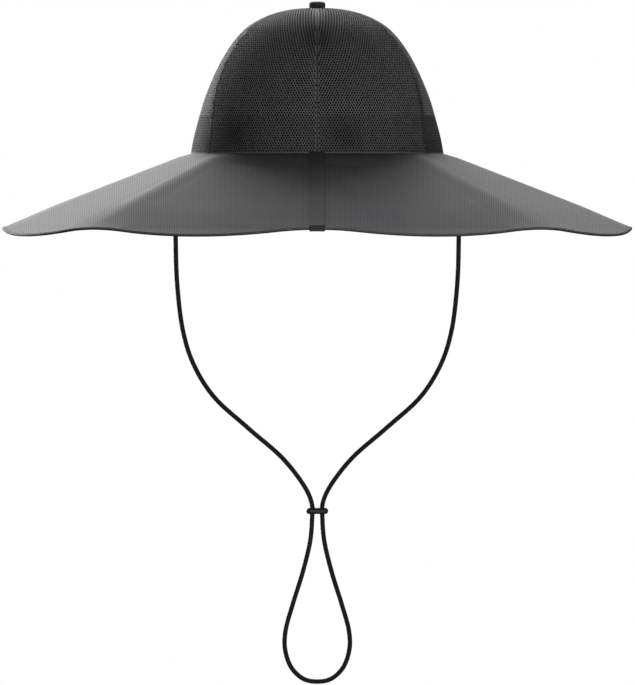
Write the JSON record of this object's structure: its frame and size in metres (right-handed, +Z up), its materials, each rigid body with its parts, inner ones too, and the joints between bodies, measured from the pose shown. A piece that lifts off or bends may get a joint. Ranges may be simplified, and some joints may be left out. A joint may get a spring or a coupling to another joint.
{
  "type": "solar panel sun hat",
  "caption": "Wide-brimmed sun hat with a perforated crown, solar panels on the folded facets of the brim, and a looped chin cord with a slider.",
  "frame": {"origin": "middle of the head opening, on the plane where the crown meets the brim", "axes": "+Z up through the crown's button, -Y towards the front band, +X to the right as seen from the front"},
  "size_m": [0.4486, 0.4497, 0.4858],
  "materials": {
    "crown_mesh": "black perforated polyester knit",
    "seam_tape": "dark grey woven tape",
    "sweatband": "black brushed knit",
    "button": "black cloth-covered button",
    "brim_cloth": "mid grey cloth in a fine square weave",
    "binding": "dark grey folded binding",
    "band_webbing": "dark grey ribbed webbing",
    "solar_film": "grey textured laminate with faint cell lines",
    "anchor_plastic": "black moulded plastic",
    "cord_braid": "black round braid",
    "slider_plastic": "black satin moulded plastic"
  },
  "bodies": {
    "root": {"crown_panel_front_right": "crown_mesh", "crown_panel_right": "crown_mesh", "crown_panel_back_right": "crown_mesh", "crown_panel_back_left": "crown_mesh", "crown_panel_left": "crown_mesh", "crown_panel_front_left": "crown_mesh", "seam_tape_front": "seam_tape", "seam_tape_front_right": "seam_tape", "seam_tape_back_right": "seam_tape", "seam_tape_back": "seam_tape", "seam_tape_back_left": "seam_tape", "seam_tape_front_left": "seam_tape", "sweatband": "sweatband", "crown_button": "button", "brim": "brim_cloth", "rim_binding": "binding", "front_band": "band_webbing", "solar_panel_1": "solar_film", "solar_panel_2": "solar_film", "solar_panel_3": "solar_film", "solar_panel_4": "solar_film", "solar_panel_5": "solar_film", "solar_panel_6": "solar_film", "solar_panel_7": "solar_film", "solar_panel_8": "solar_film", "cord_anchor_right": "anchor_plastic", "cord_anchor_left": "anchor_plastic", "chin_cord": "cord_braid", "cord_slider": "slider_plastic"}
  },
  "joints": []
}
